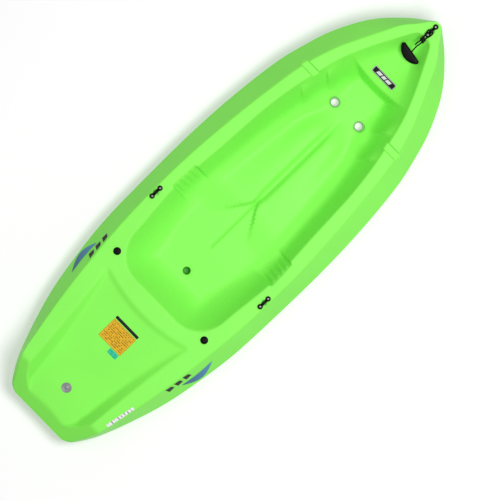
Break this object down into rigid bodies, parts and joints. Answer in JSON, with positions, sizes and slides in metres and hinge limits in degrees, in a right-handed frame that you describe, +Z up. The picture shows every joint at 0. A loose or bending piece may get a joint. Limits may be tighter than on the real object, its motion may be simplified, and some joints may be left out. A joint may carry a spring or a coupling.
{
  "type": "kayak",
  "caption": "Youth sit-on-top kayak with a moulded open cockpit, stern deck, scupper holes, pad eyes, screw plugs and a bow carry toggle.",
  "frame": {"origin": "centre of the hull's footprint, on the ground under the keel runners", "axes": "+X towards the bow, +Y to port, +Z up"},
  "size_m": [1.83, 0.6252, 0.2417],
  "materials": {
    "hull_green": "satin",
    "nylon_black": "satin",
    "grip_black": "satin",
    "cord_black": "woven",
    "stainless": "satin",
    "insert_rubber": "matte",
    "seal_rubber": "matte",
    "ink_black": "satin",
    "ink_blue": "satin",
    "label_orange": "satin",
    "label_turquoise": "satin",
    "badge_grey": "satin",
    "strip_white": "satin"
  },
  "bodies": {
    "hull": {"hull_shell": "hull_green", "bow_pad_eye": "nylon_black", "bow_pad_eye_screws": "stainless", "bow_inserts": "insert_rubber", "left_pad_eye": "nylon_black", "left_pad_eye_screws": "stainless", "left_inserts": "insert_rubber", "right_pad_eye": "nylon_black", "right_pad_eye_screws": "stainless", "right_inserts": "insert_rubber", "left_plug_socket": "nylon_black", "right_plug_socket": "nylon_black", "bow_plate": "ink_black", "deck_label": "label_orange", "deck_label_bar": "ink_black", "small_label": "label_turquoise", "round_badge": "badge_grey", "serial_strip": "strip_white", "left_wave_graphic": "ink_blue", "right_wave_graphic": "ink_blue", "left_side_marks": "ink_black", "right_side_marks": "ink_black"},
    "toggle": {"toggle_cord": "cord_black", "toggle_knot": "cord_black", "toggle_grip": "grip_black"},
    "left_seal": {"left_plug_seal": "seal_rubber"},
    "left_plug_body": {"left_plug": "nylon_black"},
    "right_seal": {"right_plug_seal": "seal_rubber"},
    "right_plug_body": {"right_plug": "nylon_black"}
  },
  "joints": [
    {"name": "toggle_lift", "type": "hinge", "parent": "hull", "child": "toggle", "pos_m": [0.882, 0, 0.22544], "axis": [0, 1, 0], "range_deg": [0, 150]},
    {"name": "left_plug_lift", "type": "slide", "parent": "hull", "child": "left_seal", "axis": [0, 0, 1], "range_m": [0, 0.01]},
    {"name": "left_plug_turn", "type": "hinge", "parent": "left_seal", "child": "left_plug_body", "pos_m": [-0.351, 0.203, 0.17703], "axis": [0, 0, 1], "range_deg": [0, 1440]},
    {"name": "right_plug_lift", "type": "slide", "parent": "hull", "child": "right_seal", "axis": [0, 0, 1], "range_m": [0, 0.01]},
    {"name": "right_plug_turn", "type": "hinge", "parent": "right_seal", "child": "right_plug_body", "pos_m": [-0.351, -0.203, 0.17703], "axis": [0, 0, 1], "range_deg": [0, 1440]}
  ],
  "couplings": [
    {"joint": "left_plug_turn", "follows": "left_plug_lift", "rad_per_m": 2513.3},
    {"joint": "right_plug_turn", "follows": "right_plug_lift", "rad_per_m": 2513.3}
  ]
}
